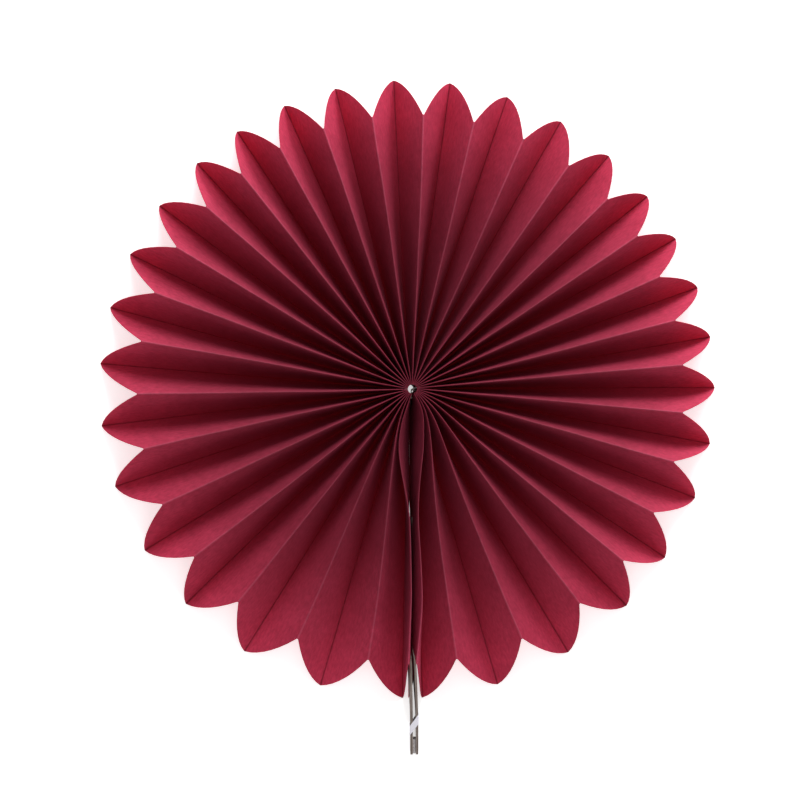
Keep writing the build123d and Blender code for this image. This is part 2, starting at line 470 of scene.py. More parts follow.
@dataclass
class PleatedSheet:
    """The folded sheet: 32 valleys and 33 ridges, the two outermost wrapped over the strips."""

    panel_width: float = 20.0
    paper: float = 0.15
    tip_radius: float = 150.0
    notch_radius: float = 132.5
    eye_radius: float = 2.2
    petal_bulge: float = 3.3
    # The angle each petal was pulled open to, clockwise from the seam.
    openings: tuple[float, ...] = (
        15.5, 15.5, 14.0, 12.5, 13.0, 11.5, 11.5, 10.5, 10.5, 10.5, 10.5, 9.5, 10.0, 10.0, 11.0, 10.5,
        11.0, 11.0, 11.0, 10.5, 9.5, 10.0, 9.5, 9.5, 10.5, 10.5, 12.5, 11.5, 14.0, 14.5, 14.3,
    )
    first_valley: float = -178.8
    eye_angles: tuple[float, float] = (-158.0, 150.0)
    panel_offset: float = 0.415  # from the seam's plane to the middle of an end panel
    touching: float = 0.08  # the same where the two ends of the sheet touch
    ridge_land: tuple[float, float] = (0.19, 0.6)  # width of a ridge's rounded nose, at the eye and rim
    valley_land: tuple[float, float] = (0.19, 0.3)
    # How the pleats beside the seam lean away from it near the hub, nearest first.
    left_leans: tuple[Lean, ...] = (Lean(-3.9, 0.2), Lean(-2.4, 0.2), Lean(-1.2, 0.18), Lean(-0.5, 0.16))
    right_leans: tuple[Lean, ...] = (
        Lean(4.1, 0.12), Lean(3.4, 0.12), Lean(2.6, 0.11), Lean(1.8, 0.1), Lean(1.0, 0.1), Lean(0.4, 0.1),
    )
    # The crest of each seam ridge: distance from the hub with its x.
    left_crest: tuple[tuple[float, float], ...] = (
        (2.2, -0.6), (8, -2.6), (16, -5.4), (28, -7.0), (40, -5.4), (52, -3.0), (61, -1.6), (75, -1.1),
        (100, -0.7), (117, -1.5), (132.5, -2.1),
    )
    right_crest: tuple[tuple[float, float], ...] = (
        (2.2, 1.0), (7, 4.4), (13, 5.6), (28, 5.5), (42, 3.9), (54, 2.9), (64, 2.9), (75, 3.7), (90, 4.6),
        (104, 5.0), (116, 3.8), (132.5, 2.2),
    )
    glued_from: float = 62.0  # from here out the end panels are glued to the strips
    stations: int = 45
    steps_across: int = 7
    wander: float = 0.28  # how far a hand-made fold strays from straight
    wander_waves: tuple[int, ...] = (1, 2, 3, 5, 8)  # in half waves along the fold
    wander_shift: float = 0.6  # radians, the most that all but the first are shifted
    wander_fades: tuple[float, float] = (4.0, 6.0)  # how fast it sets in at the eye and dies at the rim
    valley_wander: float = 0.6  # of a valley, as a share of a ridge's
    land_growth: float = 0.7  # the power of the share at which a nose widens
    seam_land: tuple[float, float] = (0.2, 0.25)  # a seam ridge's nose at the eye, and what the rim adds
    seam_nose: float = 0.12  # the most that a seam ridge's nose rises
    crest_smoothing: int = 3
    meet: tuple[float, float] = (5.0, 3.0)  # radius from which the sheet's ends close up, and over how far
    part_over: float = 8.0  # they part again over this, just before the strips
    hug: float = 0.44  # how deep an end panel sags towards its strip, as a share of its run
    least_hug: float = 0.5  # the share of that near the hub
    hug_over: float = 16.0  # it grows to the whole over this, just before the strips
    wave_height: float = 0.9  # of the slow waves that stand off the panels
    wave_length: float = 26.0
    curl: float = 0.5  # how far a panel curls from valley to ridge
    seed: int = 7

    def shares(self) -> np.ndarray:
        """Returns the shares of the way from the eye to the rim at which the sheet is set out."""
        return np.linspace(0.0, 1.0, self.stations)

    def plan(self, radius: float, azimuth: float) -> np.ndarray:
        """Returns the point at a radius and an azimuth in degrees, clockwise from +Y."""
        turn = math.radians(azimuth)
        return np.array([radius * math.sin(turn), radius * math.cos(turn)])

    def radial_fold(
        self, rim: float, eye: float, ridge: bool, lean: Lean | None, dice: random.Random
    ) -> FoldLine:
        """Sets out a fold that runs from the eye to the rim.

        Args:
            rim: its azimuth at the rim, in degrees.
            eye: its azimuth at the eye.
            ridge: True for a ridge, False for a valley.
            lean: how it leans away from the seam, if it does.
            dice: the source of its small wander.

        Returns:
            The fold.
        """
        share = self.shares()
        start = self.plan(self.eye_radius, eye)
        stop = self.plan(self.notch_radius if ridge else self.tip_radius, rim)
        line = start + np.outer(share, stop - start)
        across = self.plan(1.0, rim + 90)
        shift = self.wander_shift
        stray = sum(
            dice.uniform(-1, 1) / n * np.sin(math.pi * n * share + dice.uniform(-shift, shift) * (n > 1))
            for n in self.wander_waves
        )
        sets_in, dies = self.wander_fades
        fade = np.minimum(share * sets_in, 1) * np.minimum((1 - share) * dies, 1)
        line = line + np.outer(self.wander * stray * fade * (1.0 if ridge else self.valley_wander), across)
        if lean:
            line[:, 0] += lean.at(share)
        land = self.ridge_land if ridge else self.valley_land
        half = (land[0] + (land[1] - land[0]) * share**self.land_growth)[:, None] / 2
        turned = across * half
        return FoldLine(line - turned, line + turned, ridge)

    def seam_folds(self, side: Side) -> list[FoldLine]:
        """Sets out one free end of the sheet and the ridge over its strip.

        Args:
            side: the side of the seam.

        Returns:
            The two folds, in the sheet's order.
        """
        share, sign = self.shares(), side.value
        inner = SEAM_X + sign * self.panel_offset
        y_end = -(self.eye_radius + (self.tip_radius - self.eye_radius) * share)
        y_ridge = -(self.eye_radius + (self.notch_radius - self.eye_radius) * share)
        table = np.array(self.left_crest if side is Side.LEFT else self.right_crest)
        crest = np.interp(-y_ridge, table[:, 0], table[:, 1])
        for _ in range(self.crest_smoothing):
            crest[1:-1] = (crest[:-2] + 2 * crest[1:-1] + crest[2:]) / 4
        near = crest - sign * (self.seam_land[0] + self.seam_land[1] * share)
        closing = np.clip((-y_end - self.meet[0]) / self.meet[1], 0, 1)
        shut = closing * np.clip((self.glued_from + y_end) / self.part_over, 0, 1)
        foot = inner - sign * (self.panel_offset - self.touching) * shut
        free = np.stack([foot, y_end], axis=1)
        end = FoldLine(free, free, ridge=False, end=True)
        near_line, far_line = np.stack([near, y_ridge], axis=1), np.stack([crest, y_ridge], axis=1)
        if side is Side.LEFT:
            return [end, FoldLine(near_line, far_line, ridge=True)]
        return [FoldLine(far_line, near_line, ridge=True), end]

    def folds(self) -> list[FoldLine]:
        """Returns every fold in order, clockwise from the sheet's left end to its right end."""
        dice = random.Random(self.seed)
        rims = np.cumsum((self.first_valley,) + self.openings)
        eyes = np.linspace(*self.eye_angles, len(rims))
        last = len(rims) - 2
        folds = self.seam_folds(Side.LEFT)
        for i, (rim, eye) in enumerate(zip(rims, eyes)):
            if i:
                lean = self.left_leans[i - 1] if i - 1 < len(self.left_leans) else None
                if last - (i - 1) < len(self.right_leans):
                    lean = self.right_leans[last - (i - 1)]
                between = (rims[i - 1] + rim) / 2, (eyes[i - 1] + eye) / 2
                folds.append(self.radial_fold(*between, True, lean, dice))
            folds.append(self.radial_fold(rim, eye, False, None, dice))
        return folds + self.seam_folds(Side.RIGHT)

    def gap(self, a: np.ndarray, b: np.ndarray) -> np.ndarray:
        """Measures how far apart two corner lines are in plan.

        Args:
            a: the line that is measured from, as stations x 2.
            b: the other, which is read at the radius of each of the first one's points.

        Returns:
            The distance at each station.
        """
        radius = np.hypot(*b.T)
        wanted = np.clip(np.hypot(*a.T), radius[0], radius[-1])
        matched = np.stack([np.interp(wanted, radius, b[:, i]) for i in (0, 1)], axis=1)
        return np.hypot(*(a - matched).T)

    def sags(self, lines: np.ndarray) -> np.ndarray:
        """Works out how the end panels hug the strips before they flare to their ridges.

        Args:
            lines: the corners as lines x stations x 3.

        Returns:
            The sideways sag of the panel that starts at each line, zero for all but the two end panels.
        """
        sags = np.zeros(lines.shape[:2])
        for first, ridge, foot in ((0, 1, 0), (len(lines) - 2, len(lines) - 2, len(lines) - 1)):
            radius = -lines[ridge, :, 1]
            hug = np.clip((radius - self.glued_from + self.hug_over) / self.hug_over, self.least_hug, 1)
            sags[first] = -self.hug * hug * (lines[ridge, :, 0] - lines[foot, :, 0])
        return sags

    def corner_lines(self) -> tuple[np.ndarray, np.ndarray]:
        """Sets out both corners of every fold.

        Returns:
            The corners as lines x stations x 3, and the height of the rounded nose that starts at each.
        """
        folds = self.folds()
        lines, lifts = [], []
        base = self.paper / 2
        for k, fold in enumerate(folds):
            runs = []
            if k and not folds[k - 1].end:
                runs.append(self.gap(fold.before, folds[k - 1].after))
            if k + 1 < len(folds) and not folds[k + 1].end:
                runs.append(self.gap(fold.after, folds[k + 1].before))
            run = sum(runs) / len(runs)
            # Past the notches a valley has no ridge beside it, and its run is no measure of the height.
            height = np.sqrt(np.maximum(self.panel_width**2 - run**2, (self.panel_width / 2) ** 2))
            half_land = np.hypot(*(fold.after - fold.before).T) / 2
            lift = half_land * np.tan(np.arctan2(height, run) / 2)
            if k in (1, len(folds) - 2):
                lift = np.minimum(lift, self.seam_nose)
            for corner in ((fold.before, fold.after) if not fold.end else (fold.after,)):
                z = base + (height - lift if fold.ridge else lift * (0 if fold.end else 1))
                lines.append(np.column_stack([corner, z]))
                lifts.append(lift if fold.ridge else -lift)
        return np.array(lines), np.array(lifts)

    def tree(self) -> bpy.types.NodeTree:
        """Builds the tree that spans a sheet across the fold lines.

        Returns:
            The tree. Its geometry input is the fold corners as points, line after line.
        """
        tree = new_tree("Pleated_sheet", {
            "Strips": "Int", "Stations": "Int", "Steps Across": "Int", "Petal Bulge": "Float",
            "Panel Width": "Float", "Wave Height": "Float", "Wave Length": "Float", "Curl": "Float",
            "Seed": "Float", "Material": "Material",
        })
        given = add_node(tree, "NodeGroupInput").outputs
        math_node, vector_node = "ShaderNodeMath", "ShaderNodeVectorMath"

        columns = add_node(
            tree, math_node, {"operation": "MULTIPLY"}, {0: given["Strips"], 1: given["Steps Across"]}
        )
        columns = add_node(tree, math_node, {"operation": "ADD"}, {0: columns.outputs[0], 1: 1.0}).outputs[0]
        grid = add_node(
            tree, "GeometryNodeMeshGrid",
            inputs={"Size X": 1.0, "Size Y": 1.0, "Vertices X": columns, "Vertices Y": given["Stations"]},
        ).outputs["Mesh"]

        # Which strip a point is in, how far across it, and which station it is at.
        place = add_node(tree, "GeometryNodeInputPosition").outputs[0]
        place = add_node(tree, vector_node, {"operation": "ADD"}, {0: place, 1: (0.5, 0.5, 0.0)}).outputs[0]
        place = add_node(tree, "ShaderNodeSeparateXYZ", inputs={0: place}).outputs
        reach = add_node(
            tree, math_node, {"operation": "MULTIPLY"}, {0: place["X"], 1: given["Strips"]}
        ).outputs[0]
        nudged = add_node(tree, math_node, {"operation": "ADD"}, {0: reach, 1: 0.001}).outputs[0]
        strip = add_node(tree, math_node, {"operation": "FLOOR"}, {0: nudged}).outputs[0]
        top_strip = add_node(
            tree, math_node, {"operation": "SUBTRACT"}, {0: given["Strips"], 1: 1.0}
        ).outputs[0]
        strip = add_node(tree, math_node, {"operation": "MINIMUM"}, {0: strip, 1: top_strip}).outputs[0]
        across = add_node(
            tree, math_node, {"operation": "SUBTRACT", "use_clamp": True}, {0: reach, 1: strip}
        ).outputs[0]
        rows = add_node(tree, math_node, {"operation": "SUBTRACT"}, {0: given["Stations"], 1: 1.0}).outputs[0]
        row = add_node(tree, math_node, {"operation": "MULTIPLY"}, {0: place["Y"], 1: rows}).outputs[0]
        row = add_node(tree, math_node, {"operation": "ROUND"}, {0: row}).outputs[0]
        first = add_node(
            tree, math_node, {"operation": "MULTIPLY_ADD"}, {0: strip, 1: given["Stations"], 2: row}
        ).outputs[0]
        second = add_node(tree, math_node, {"operation": "ADD"}, {0: first, 1: given["Stations"]}).outputs[0]

        # The two corners beside the point, and the nose's height.
        own = add_node(tree, "GeometryNodeInputPosition").outputs[0]
        corners = [
            add_node(
                tree, "GeometryNodeSampleIndex", {"data_type": "FLOAT_VECTOR", "clamp": True},
                {"Geometry": given["Geometry"], "Value": own, "Index": index},
            ).outputs[0]
            for index in (first, second)
        ]
        lift = add_node(
            tree, "GeometryNodeInputNamedAttribute", {"data_type": "FLOAT"}, {"Name": "lift"}
        ).outputs["Attribute"]
        lift = add_node(
            tree, "GeometryNodeSampleIndex", {"data_type": "FLOAT", "clamp": True},
            {"Geometry": given["Geometry"], "Value": lift, "Index": first},
        ).outputs[0]
        sag = add_node(
            tree, "GeometryNodeInputNamedAttribute", {"data_type": "FLOAT"}, {"Name": "sag"}
        ).outputs["Attribute"]
        sag = add_node(
            tree, "GeometryNodeSampleIndex", {"data_type": "FLOAT", "clamp": True},
            {"Geometry": given["Geometry"], "Value": sag, "Index": first},
        ).outputs[0]
        flat_point = add_node(
            tree, "ShaderNodeMix", {"data_type": "VECTOR"}, {"Factor": across, 4: corners[0], 5: corners[1]}
        ).outputs[1]

        # Panels are even strips and noses are odd ones. The arch is 4v(1-v).
        nose = add_node(tree, math_node, {"operation": "MODULO"}, {0: strip, 1: 2.0}).outputs[0]
        panel = add_node(tree, math_node, {"operation": "SUBTRACT"}, {0: 1.0, 1: nose}).outputs[0]
        back = add_node(tree, math_node, {"operation": "SUBTRACT"}, {0: 1.0, 1: across}).outputs[0]
        arch = add_node(tree, math_node, {"operation": "MULTIPLY"}, {0: across, 1: back}).outputs[0]
        arch = add_node(tree, math_node, {"operation": "MULTIPLY"}, {0: arch, 1: 4.0}).outputs[0]
        panel_arch = add_node(tree, math_node, {"operation": "MULTIPLY"}, {0: arch, 1: panel}).outputs[0]

        # The petal's edge bows outwards.
        outwards = add_node(tree, vector_node, {"operation": "MULTIPLY"}, {0: flat_point, 1: (1.0, 1.0, 0.0)})
        outwards = add_node(
            tree, vector_node, {"operation": "NORMALIZE"}, {0: outwards.outputs[0]}
        ).outputs[0]
        mask = add_node(tree, math_node, {"operation": "MULTIPLY"}, {0: panel_arch, 1: place["Y"]}).outputs[0]
        bulge = add_node(
            tree, math_node, {"operation": "MULTIPLY"}, {0: mask, 1: given["Petal Bulge"]}
        ).outputs[0]
        bulge = add_node(tree, vector_node, {"operation": "SCALE"}, {0: outwards, "Scale": bulge}).outputs[0]
        point = add_node(tree, vector_node, {"operation": "ADD"}, {0: flat_point, 1: bulge}).outputs[0]

        # The nose is a half ellipse over its two corners.
        round_nose = add_node(tree, math_node, {"operation": "SQRT"}, {0: arch}).outputs[0]
        round_nose = add_node(tree, math_node, {"operation": "MULTIPLY"}, {0: round_nose, 1: nose}).outputs[0]
        round_nose = add_node(tree, math_node, {"operation": "MULTIPLY"}, {0: round_nose, 1: lift}).outputs[0]
        sag = add_node(tree, math_node, {"operation": "MULTIPLY"}, {0: sag, 1: panel_arch}).outputs[0]
        up = add_node(tree, "ShaderNodeCombineXYZ", inputs={"X": sag, "Z": round_nose}).outputs[0]
        point = add_node(tree, vector_node, {"operation": "ADD"}, {0: point, 1: up}).outputs[0]

        # The share of the way up to the ridge, and the flat sheet's own millimetres.
        turn = add_node(tree, math_node, {"operation": "ADD"}, {0: strip, 1: across}).outputs[0]
        turn = add_node(tree, math_node, {"operation": "MODULO"}, {0: turn, 1: 4.0}).outputs[0]
        down = add_node(tree, math_node, {"operation": "SUBTRACT"}, {0: 3.0, 1: turn}).outputs[0]
        rise = add_node(
            tree, math_node, {"operation": "MINIMUM", "use_clamp": True}, {0: turn, 1: down}
        ).outputs[0]
        along_strip = add_node(tree, math_node, {"operation": "MAXIMUM"}, {0: across, 1: nose}).outputs[0]
        pleats = add_node(tree, math_node, {"operation": "SUBTRACT"}, {0: strip, 1: nose}).outputs[0]
        pleats = add_node(tree, math_node, {"operation": "MULTIPLY"}, {0: pleats, 1: 0.5}).outputs[0]
        pleats = add_node(tree, math_node, {"operation": "ADD"}, {0: pleats, 1: along_strip}).outputs[0]
        flat_x = add_node(
            tree, math_node, {"operation": "MULTIPLY"}, {0: pleats, 1: given["Panel Width"]}
        ).outputs[0]
        radius = add_node(tree, vector_node, {"operation": "LENGTH"}, {0: flat_point}).outputs["Value"]
        radius = add_node(tree, math_node, {"operation": "DIVIDE"}, {0: radius, 1: MM}).outputs[0]
        flat = add_node(tree, "ShaderNodeCombineXYZ", inputs={"X": flat_x, "Y": radius, "Z": rise}).outputs[0]

        stored = add_node(
            tree, "GeometryNodeStoreNamedAttribute", {"data_type": "FLOAT_VECTOR", "domain": "POINT"},
            {"Geometry": grid, "Name": FLAT, "Value": flat},
        ).outputs[0]
        stored = add_node(
            tree, "GeometryNodeStoreNamedAttribute", {"data_type": "FLOAT", "domain": "POINT"},
            {"Geometry": stored, "Name": "mask", "Value": mask},
        ).outputs[0]
        shaped = add_node(
            tree, "GeometryNodeSetPosition", inputs={"Geometry": stored, "Position": point}
        ).outputs[0]

        end_tree(tree, self.waved(tree, given, shaped), given["Material"])
        return tree

    def waved(
        self, tree: bpy.types.NodeTree, given: bpy.types.bpy_prop_collection, shaped: bpy.types.NodeSocket
    ) -> bpy.types.NodeSocket:
        """Adds slow waves that stand off the panels, and a little curl from valley to ridge.

        Args:
            tree: the tree.
            given: its inputs.
            shaped: the sheet before this.

        Returns:
            The waved sheet, without the mask that held its folds and its inner edge still.
        """
        math_node, vector_node = "ShaderNodeMath", "ShaderNodeVectorMath"
        kept_flat = add_node(
            tree, "GeometryNodeInputNamedAttribute", {"data_type": "FLOAT_VECTOR"}, {"Name": FLAT}
        ).outputs["Attribute"]
        kept_mask = add_node(
            tree, "GeometryNodeInputNamedAttribute", {"data_type": "FLOAT"}, {"Name": "mask"}
        ).outputs["Attribute"]
        kept = add_node(tree, "ShaderNodeSeparateXYZ", inputs={0: kept_flat}).outputs
        scale = add_node(
            tree, math_node, {"operation": "DIVIDE"}, {0: 1.0, 1: given["Wave Length"]}
        ).outputs[0]
        noise = add_node(
            tree, "ShaderNodeTexNoise", {"noise_dimensions": "4D"},
            {"Vector": kept_flat, "W": given["Seed"], "Scale": scale, "Detail": 2.0},
        ).outputs["Fac"]
        wave = add_node(tree, math_node, {"operation": "SUBTRACT"}, {0: noise, 1: 0.5}).outputs[0]
        wave = add_node(
            tree, math_node, {"operation": "MULTIPLY"}, {0: wave, 1: given["Wave Height"]}
        ).outputs[0]
        turned = add_node(tree, math_node, {"operation": "SUBTRACT"}, {0: kept["Z"], 1: 0.5}).outputs[0]
        curl = add_node(tree, math_node, {"operation": "MULTIPLY"}, {0: turned, 1: given["Curl"]}).outputs[0]
        wave = add_node(tree, math_node, {"operation": "ADD"}, {0: wave, 1: curl}).outputs[0]
        wave = add_node(tree, math_node, {"operation": "MULTIPLY"}, {0: wave, 1: kept_mask}).outputs[0]
        normal = add_node(tree, "GeometryNodeInputNormal").outputs[0]
        offset = add_node(tree, vector_node, {"operation": "SCALE"}, {0: normal, "Scale": wave}).outputs[0]
        waved = add_node(
            tree, "GeometryNodeSetPosition", inputs={"Geometry": shaped, "Offset": offset}
        ).outputs[0]
        return add_node(
            tree, "GeometryNodeRemoveAttribute", inputs={"Geometry": waved, "Name": "mask"}
        ).outputs[0]

    def build(self, paper: bpy.types.Material) -> bpy.types.Object:
        """Builds the sheet.

        Args:
            paper: its material.

        Returns:
            The finished piece, riding in place of its CAD node.
        """
        lines, lifts = self.corner_lines()
        points = (lines.reshape(-1, 3) * MM).tolist()
        seed_mesh = object_from("Fold_lines", points)
        for name, values in (("lift", lifts), ("sag", self.sags(lines))):
            attribute = seed_mesh.data.attributes.new(name, "FLOAT", "POINT")
            attribute.data.foreach_set("value", (values.reshape(-1) * MM).tolist())
        modifier = seed_mesh.modifiers.new("Pleats", "NODES")
        modifier.node_group = self.tree()
        set_inputs(modifier, {
            "Strips": len(lines) - 1, "Stations": self.stations, "Steps Across": self.steps_across,
            "Petal Bulge": self.petal_bulge * MM, "Panel Width": self.panel_width,
            "Wave Height": self.wave_height * MM, "Wave Length": self.wave_length,
            "Curl": self.curl * MM, "Seed": float(self.seed), "Material": paper,
        })
        wall = seed_mesh.modifiers.new("Paper", "SOLIDIFY")
        wall.thickness = self.paper * MM
        wall.offset = 0.0
        piece = plain_mesh(seed_mesh, "Pleated_paper")
        fit_out(piece, "pleated_paper")
        return piece


# ---- the seam's small pieces -----------------------------------------------------------------------


@dataclass(frozen=True)
class TailSet:
    """How the strips' free ends have settled past the rim: pushed over, spread and leaning."""

    starts: float = 118.0  # from here out the strips leave their straight line
    ends: float = 165.0
    push: float = 0.71
    spread: float = 0.325  # how much further apart they are at the end, as a share
    lean: float = 5.0  # degrees, their lower edges towards +X
    top: float = 19.49  # height of the strips' upper edges, which only the push and the spread move

    def settle(self, piece: bpy.types.Object) -> None:
        """Moves the points of a piece that is on the strips as the strips have moved.

        Args:
            piece: the piece, whose mesh is changed.
        """
        slope = math.tan(math.radians(self.lean))
        for vert in piece.data.vertices:
            x, y, z = vert.co / MM
            share = min(max((-y - self.starts) / (self.ends - self.starts), 0.0), 1.0)
            share = share * share * (3 - 2 * share)
            over = self.push + self.spread * (x - SEAM_X) + (self.top - z) * slope
            vert.co.x += over * share * MM
        piece.data.update()


@dataclass
class BoardStrip:
    """A greyboard strip on edge, with softly crushed cut edges."""

    side: Side
    rows: int = 90
    round_off: float = 0.14
    roughness: float = 0.035
    ragged_top: float = 0.006
    end_pinch: float = 0.12  # how much the cut ends are crushed
    corner_steps: int = 4
    tapers_from: float = 134.0  # from here in to the hub the strip narrows, hidden in its fold
    taper_length: float = 12.0
    taper: float = 0.1

    def build(self, board: bpy.types.Material) -> bpy.types.Object:
        """Builds the strip inside its CAD node's box.

        Args:
            board: its material.

        Returns:
            The finished piece.
        """
        node = f"{self.side.name.lower()}_stiffener"
        low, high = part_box(node)
        dice = random.Random(40 + self.side.value)
        middle, half = (low + high) / 2, (high - low) / 2
        r = self.round_off * MM
        profile = []
        for sx, sz, start in ((1, 1, 0), (-1, 1, 90), (-1, -1, 180), (1, -1, 270)):
            for step in range(self.corner_steps):
                a = math.radians(start + 90 / (self.corner_steps - 1) * step)
                profile.append((sx * (half.x - r) + r * math.cos(a), sz * (half.z - r) + r * math.sin(a)))
        verts, faces = [], []
        n = len(profile)
        for i in range(self.rows + 1):
            share = i / self.rows
            pinch = 1 - self.end_pinch * (share in (0.0, 1.0))
            for x, z in profile:
                shy = 1 - dice.uniform(0, self.roughness) * pinch
                y = low.y + share * (high.y - low.y)
                inside = min(max((y + self.tapers_from * MM) / (self.taper_length * MM), 0.0), 1.0)
                inside = inside * inside * (3 - 2 * inside) if z > 0 else 0.0
                top = z * (1 - inside) - half.z * self.taper * inside
                top *= 1 - dice.uniform(0, self.ragged_top)
                verts.append((middle.x + x * shy * pinch, y, middle.z + top))
        for i in range(self.rows):
            for j in range(n):
                a, b = i * n + j, i * n + (j + 1) % n
                faces.append((a, b, b + n, a + n))
        faces.append(tuple(reversed(range(n))))
        faces.append(tuple(self.rows * n + j for j in range(n)))
        piece = object_from(f"Greyboard_strip_{self.side.name.lower()}", verts, faces=faces)
        finish_mesh(piece, board)
        TailSet().settle(piece)
        fit_out(piece, node)
        return piece


@dataclass
class FoamPad:
    """The foam tape that sticks the strips' free ends together."""

    uneven: float = 0.10  # the most that its cut edges fall short
    rounding: float = 0.12  # the most that they draw in beside the strips
    roundness: int = 6  # the power at which they do
    across: int = 8
    along: int = 26
    up: int = 40

    def build(self, foam: bpy.types.Material) -> bpy.types.Object:
        """Builds the pad, its open edges a little uneven.

        Args:
            foam: its material.

        Returns:
            The finished piece.
        """
        low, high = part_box("adhesive_pad")
        shape = bmesh.new()
        bmesh.ops.create_cube(shape, size=1.0)
        cuts = [(0, self.across), (1, self.along), (2, self.up)]
        for axis, count in cuts:
            edges = [
                e for e in shape.edges
                if abs((e.verts[0].co - e.verts[1].co)[axis]) > 1e-6
            ]
            bmesh.ops.subdivide_edges(shape, edges=edges, cuts=count, use_grid_fill=True)
        dice = random.Random(5)
        size = high - low
        for vert in shape.verts:
            place = vert.co.copy()
            drawn = (2 * abs(place.x)) ** self.roundness
            for axis in (1, 2):
                if abs(place[axis]) > 0.499:
                    short = dice.uniform(0.0, self.uneven) * MM / size[axis]
                    place[axis] -= math.copysign(short, place[axis])
                    place[axis] -= math.copysign(drawn * self.rounding * MM / size[axis], place[axis])
            vert.co = Vector(low[i] + (place[i] + 0.5) * size[i] for i in range(3))
        mesh = bpy.data.meshes.new("Foam_pad")
        shape.to_mesh(mesh)
        shape.free()
        piece = bpy.data.objects.new("Foam_pad", mesh)
        bpy.context.collection.objects.link(piece)
        finish_mesh(piece, foam)
        TailSet().settle(piece)
        fit_out(piece, "adhesive_pad")
        return piece


@dataclass
class TieRibbon:
    """A woven ribbon that goes round both strips on a slant."""

    width: float = 2.3
    thickness: float = 0.2
    slant: float = 60.0
    corner: float = 0.35  # radius at which it turns round the strips' edges
    corner_steps: int = 6
    step_round: float = 0.8
    steps_across: int = 8

    def build(self, satin: bpy.types.Material) -> bpy.types.Object:
        """Builds the ribbon inside its CAD node's box.

        Args:
            satin: its material.

        Returns:
            The finished piece.
        """
        low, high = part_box("tie_ribbon")
        middle = (low + high) / 2
        half_x = (high.x - low.x) / 2 - self.thickness / 2 * MM
        half_z = (high.z - low.z) / 2 - self.thickness / 2 * MM
        r = self.corner * MM
        loop = []
        for sx, sz, start in ((1, 1, 0), (-1, 1, 90), (-1, -1, 180), (1, -1, 270)):
            for step in range(self.corner_steps):
                a = math.radians(start + 90 / (self.corner_steps - 1) * step)
                loop.append((sx * (half_x - r) + r * math.cos(a), sz * (half_z - r) + r * math.sin(a)))
        rounds = []
        for i, (x, z) in enumerate(loop):
            nx, nz = loop[(i + 1) % len(loop)]
            parts = max(1, round(math.hypot(nx - x, nz - z) / (self.step_round * MM)))
            rounds += [(x + (nx - x) * p / parts, z + (nz - z) * p / parts) for p in range(parts)]
        slope = math.tan(math.radians(self.slant))
        half_y = self.width / 2 / math.cos(math.radians(self.slant)) * MM
        verts, faces = [], []
        m = self.steps_across + 1
        for x, z in rounds:
            for j in range(m):
                share = 2 * j / self.steps_across - 1
                y = middle.y + x * slope + half_y * share
                y = min(max(y, low.y), high.y)
                verts.append((middle.x + x, y, middle.z + z))
        n = len(rounds)
        for i in range(n):
            for j in range(self.steps_across):
                a, b = i * m + j, ((i + 1) % n) * m + j
                faces.append((a, b, b + 1, a + 1))
        band = object_from("Ribbon_band", verts, faces=faces)
        finish_mesh(band, satin)
        TailSet().settle(band)
        wall = band.modifiers.new("Ribbon", "SOLIDIFY")
        wall.thickness = self.thickness * MM
        wall.offset = 0.0
        piece = plain_mesh(band, "Tie_ribbon", 60.0)
        fit_out(piece, "tie_ribbon")
        return piece


